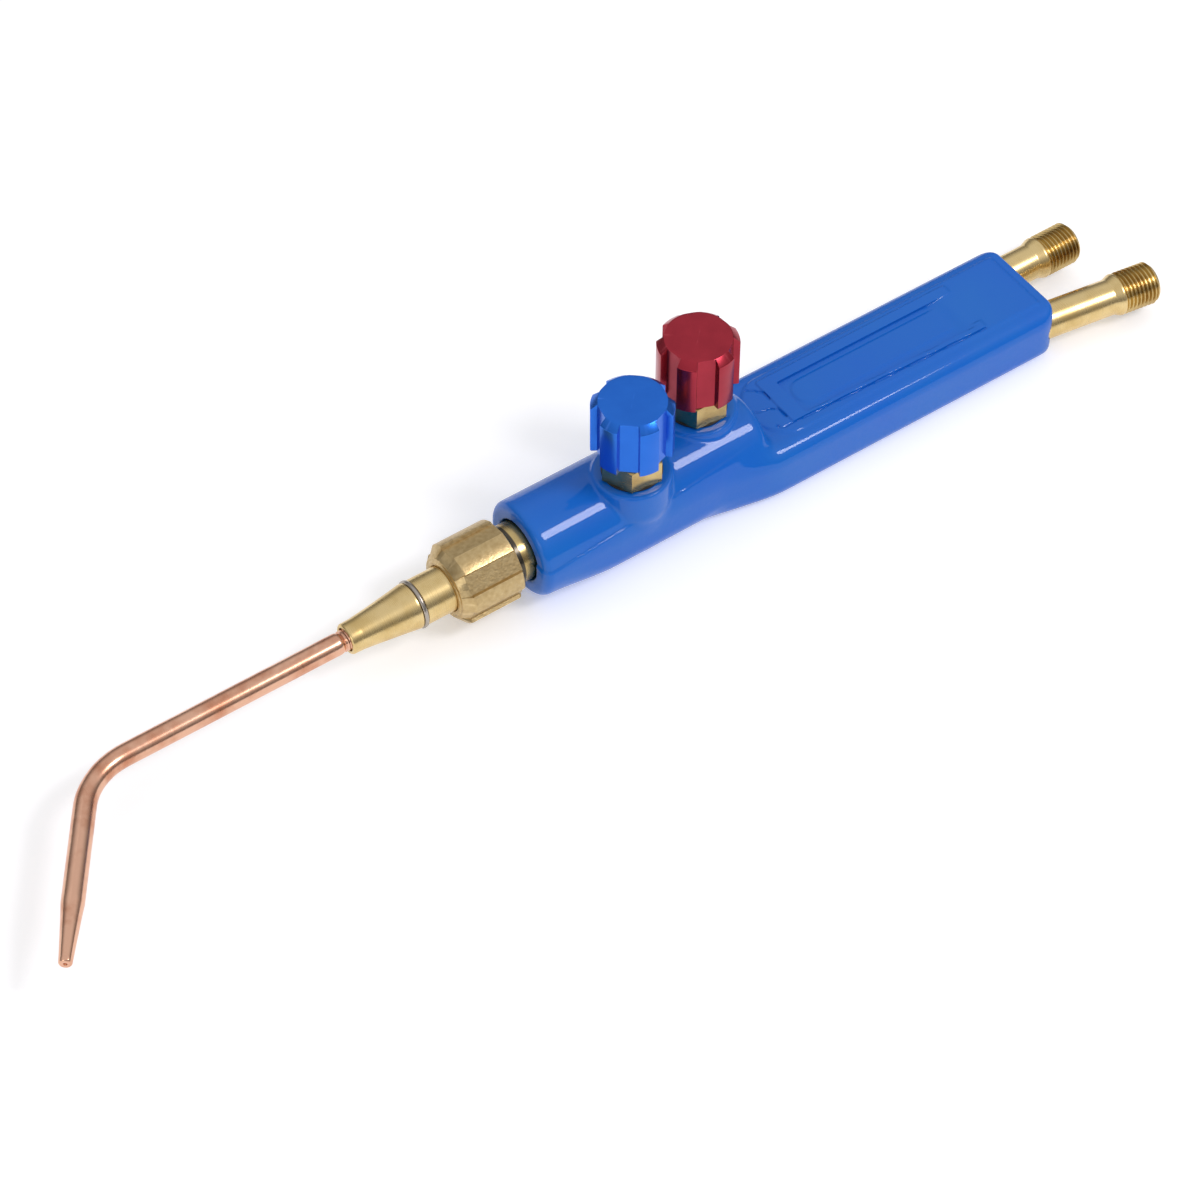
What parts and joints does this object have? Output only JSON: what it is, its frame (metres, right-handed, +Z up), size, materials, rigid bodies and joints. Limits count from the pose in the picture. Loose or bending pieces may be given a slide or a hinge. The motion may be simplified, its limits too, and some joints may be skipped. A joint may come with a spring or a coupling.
{
  "type": "lampwork torch",
  "caption": "Hand torch for glasswork: flat handle, two needle valves with lobed knobs, union nut, mixer and a bent copper nozzle.",
  "frame": {"origin": "middle of the handle casting's flat underside, on the rest plane", "axes": "+X forward along the torch axis to the nozzle, +Y to the torch's left, +Z up along the valve axes"},
  "size_m": [0.4012, 0.0697, 0.059],
  "materials": {
    "blue_enamel": "glossy baked enamel",
    "brass": "satin turned brass",
    "copper": "bare copper, lightly tarnished",
    "blue_anodised": "satin anodised",
    "red_anodised": "satin anodised",
    "spring_steel": "satin",
    "black_rubber": "matte"
  },
  "bodies": {
    "torch": {"handle_casting": "blue_enamel", "valve_core": "brass", "oxygen_inlet": "brass", "fuel_inlet": "brass", "oxygen_feed_pipe": "copper", "fuel_feed_pipe": "copper", "oxygen_bonnet": "brass", "fuel_bonnet": "brass", "oxygen_bonnet_seal": "black_rubber", "fuel_bonnet_seal": "black_rubber", "oxygen_spindle_packing": "black_rubber", "fuel_spindle_packing": "black_rubber"},
    "oxygen_spindle": {"oxygen_spindle": "brass"},
    "oxygen_knob": {"oxygen_knob": "blue_anodised"},
    "fuel_spindle": {"fuel_spindle": "brass"},
    "fuel_knob": {"fuel_knob": "red_anodised"},
    "union_nut": {"union_nut": "brass"},
    "head": {"mixer_body": "brass", "retaining_ring": "spring_steel", "injector": "brass", "rear_o_ring": "black_rubber", "front_o_ring": "black_rubber", "nozzle": "copper"}
  },
  "joints": [
    {"name": "oxygen_spindle_lift", "type": "slide", "parent": "torch", "child": "oxygen_spindle", "axis": [0, 0, 1], "range_m": [0, 0.002]},
    {"name": "oxygen_knob_turn", "type": "hinge", "parent": "oxygen_spindle", "child": "oxygen_knob", "pos_m": [0.056, 0.00475, 0.055], "axis": [0, 0, 1], "range_deg": [0, 720]},
    {"name": "fuel_spindle_lift", "type": "slide", "parent": "torch", "child": "fuel_spindle", "axis": [0, 0, 1], "range_m": [0, 0.002]},
    {"name": "fuel_knob_turn", "type": "hinge", "parent": "fuel_spindle", "child": "fuel_knob", "pos_m": [0.0265, -0.00475, 0.055], "axis": [0, 0, 1], "range_deg": [0, 720]},
    {"name": "union_nut_turn", "type": "hinge", "parent": "torch", "child": "union_nut", "pos_m": [0.108, 0, 0.015], "axis": [1, 0, 0], "continuous": true},
    {"name": "head_swivel", "type": "hinge", "parent": "torch", "child": "head", "pos_m": [0.1, 0, 0.015], "axis": [1, 0, 0], "continuous": true}
  ],
  "couplings": [
    {"joint": "oxygen_knob_turn", "follows": "oxygen_spindle_lift", "rad_per_m": 6283.2},
    {"joint": "fuel_knob_turn", "follows": "fuel_spindle_lift", "rad_per_m": 6283.2}
  ]
}
